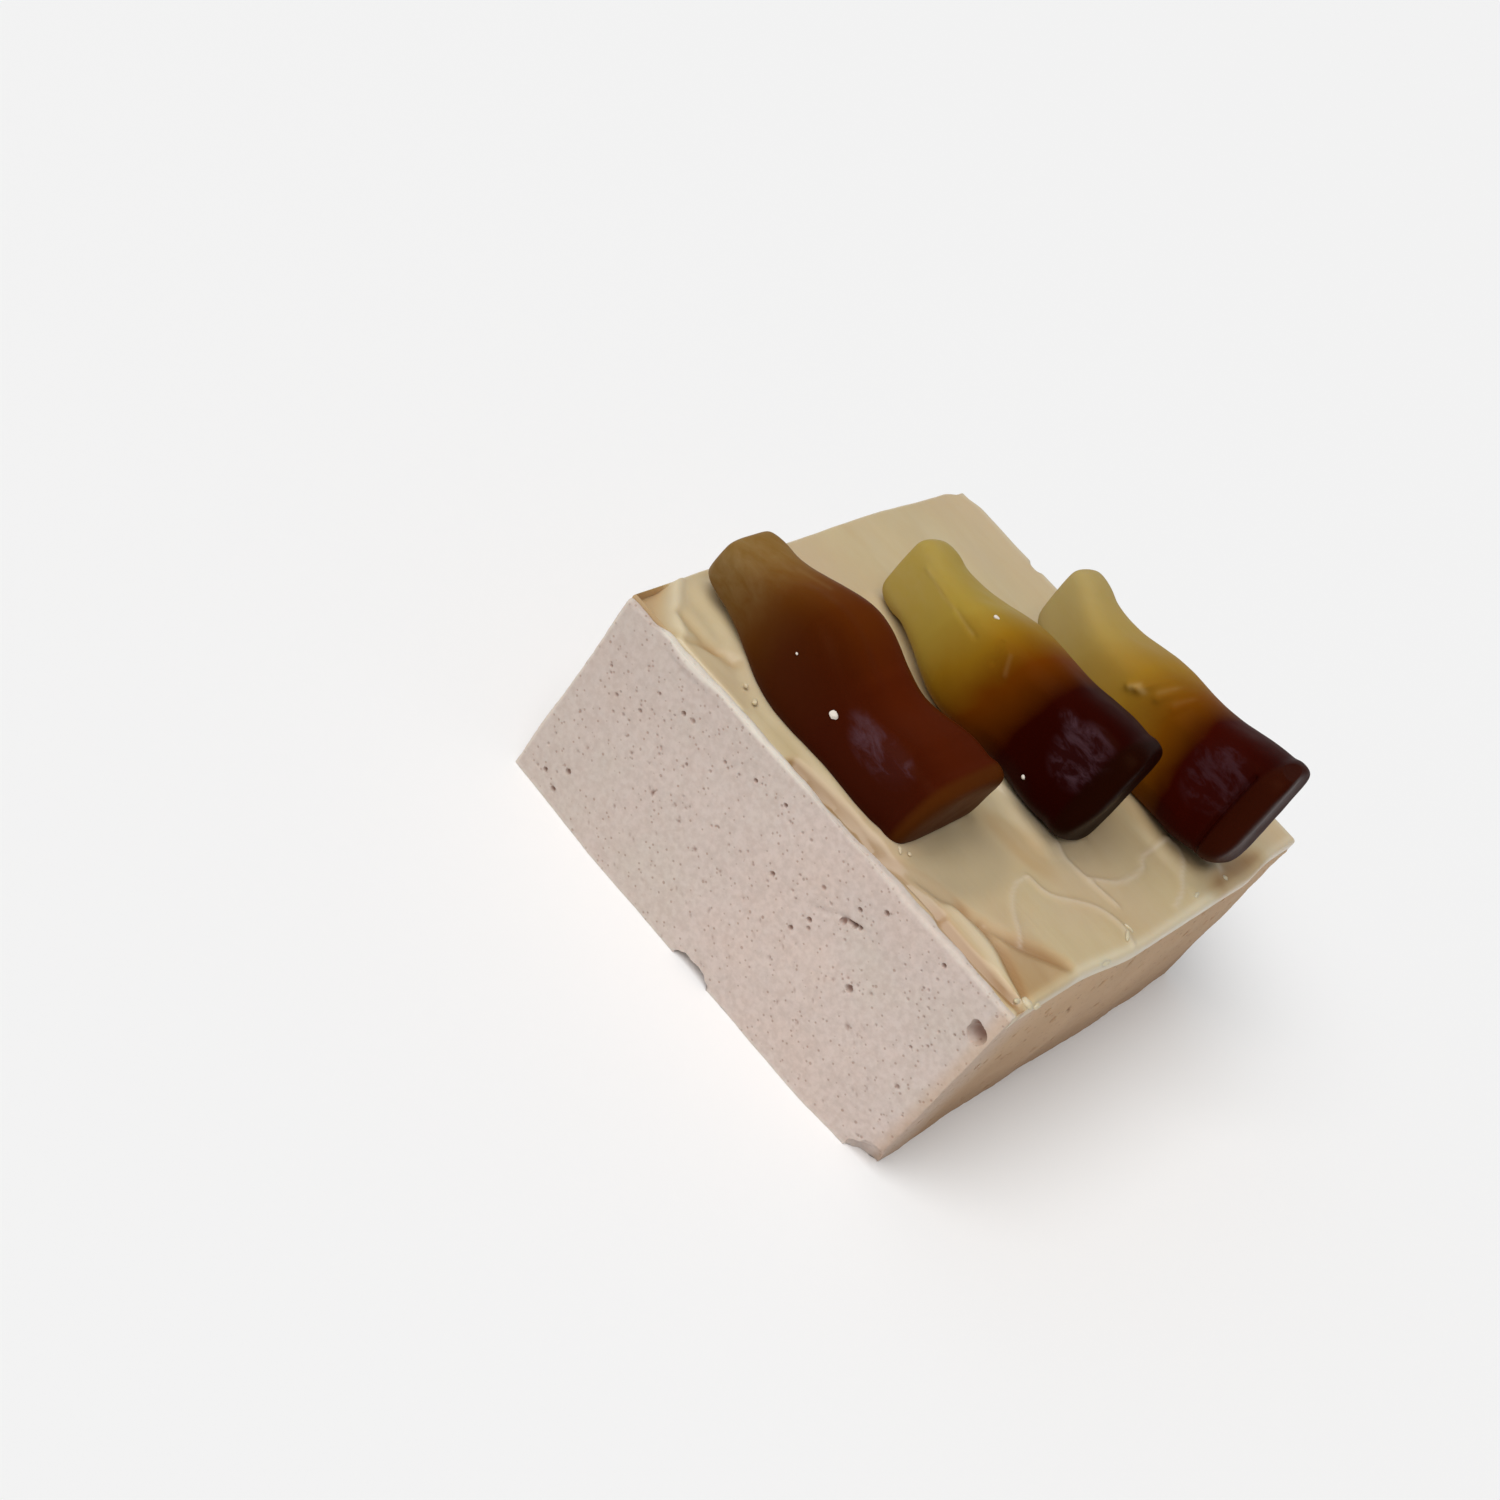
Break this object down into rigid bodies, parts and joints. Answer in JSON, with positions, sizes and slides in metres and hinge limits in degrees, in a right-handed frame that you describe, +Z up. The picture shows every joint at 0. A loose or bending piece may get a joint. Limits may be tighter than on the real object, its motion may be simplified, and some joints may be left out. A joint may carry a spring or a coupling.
{
  "type": "marshmallow",
  "caption": "Square-cut marshmallow slab with a thin poured cream glaze on top and bottle-shaped fruit gummies pressed into the glaze.",
  "frame": {"origin": "middle of the flat underside: the centre of the whole part's extent in plan, at the height of the surface it lies on", "axes": "+Z up; the cut front face looks towards -Y; +X runs along the front face from the gummies' necks towards their bases"},
  "size_m": [0.0614, 0.0684, 0.0447],
  "materials": {
    "marshmallow": "matt aerated foam, finely pored",
    "glaze": "thin glossy cream glaze",
    "gummy": "translucent, softly waxed, olive to dark brown"
  },
  "bodies": {
    "root": {"marshmallow_block": "marshmallow", "glaze_top": "glaze", "gummy_bottle_1": "gummy", "gummy_bottle_2": "gummy", "gummy_bottle_3": "gummy"}
  },
  "joints": []
}
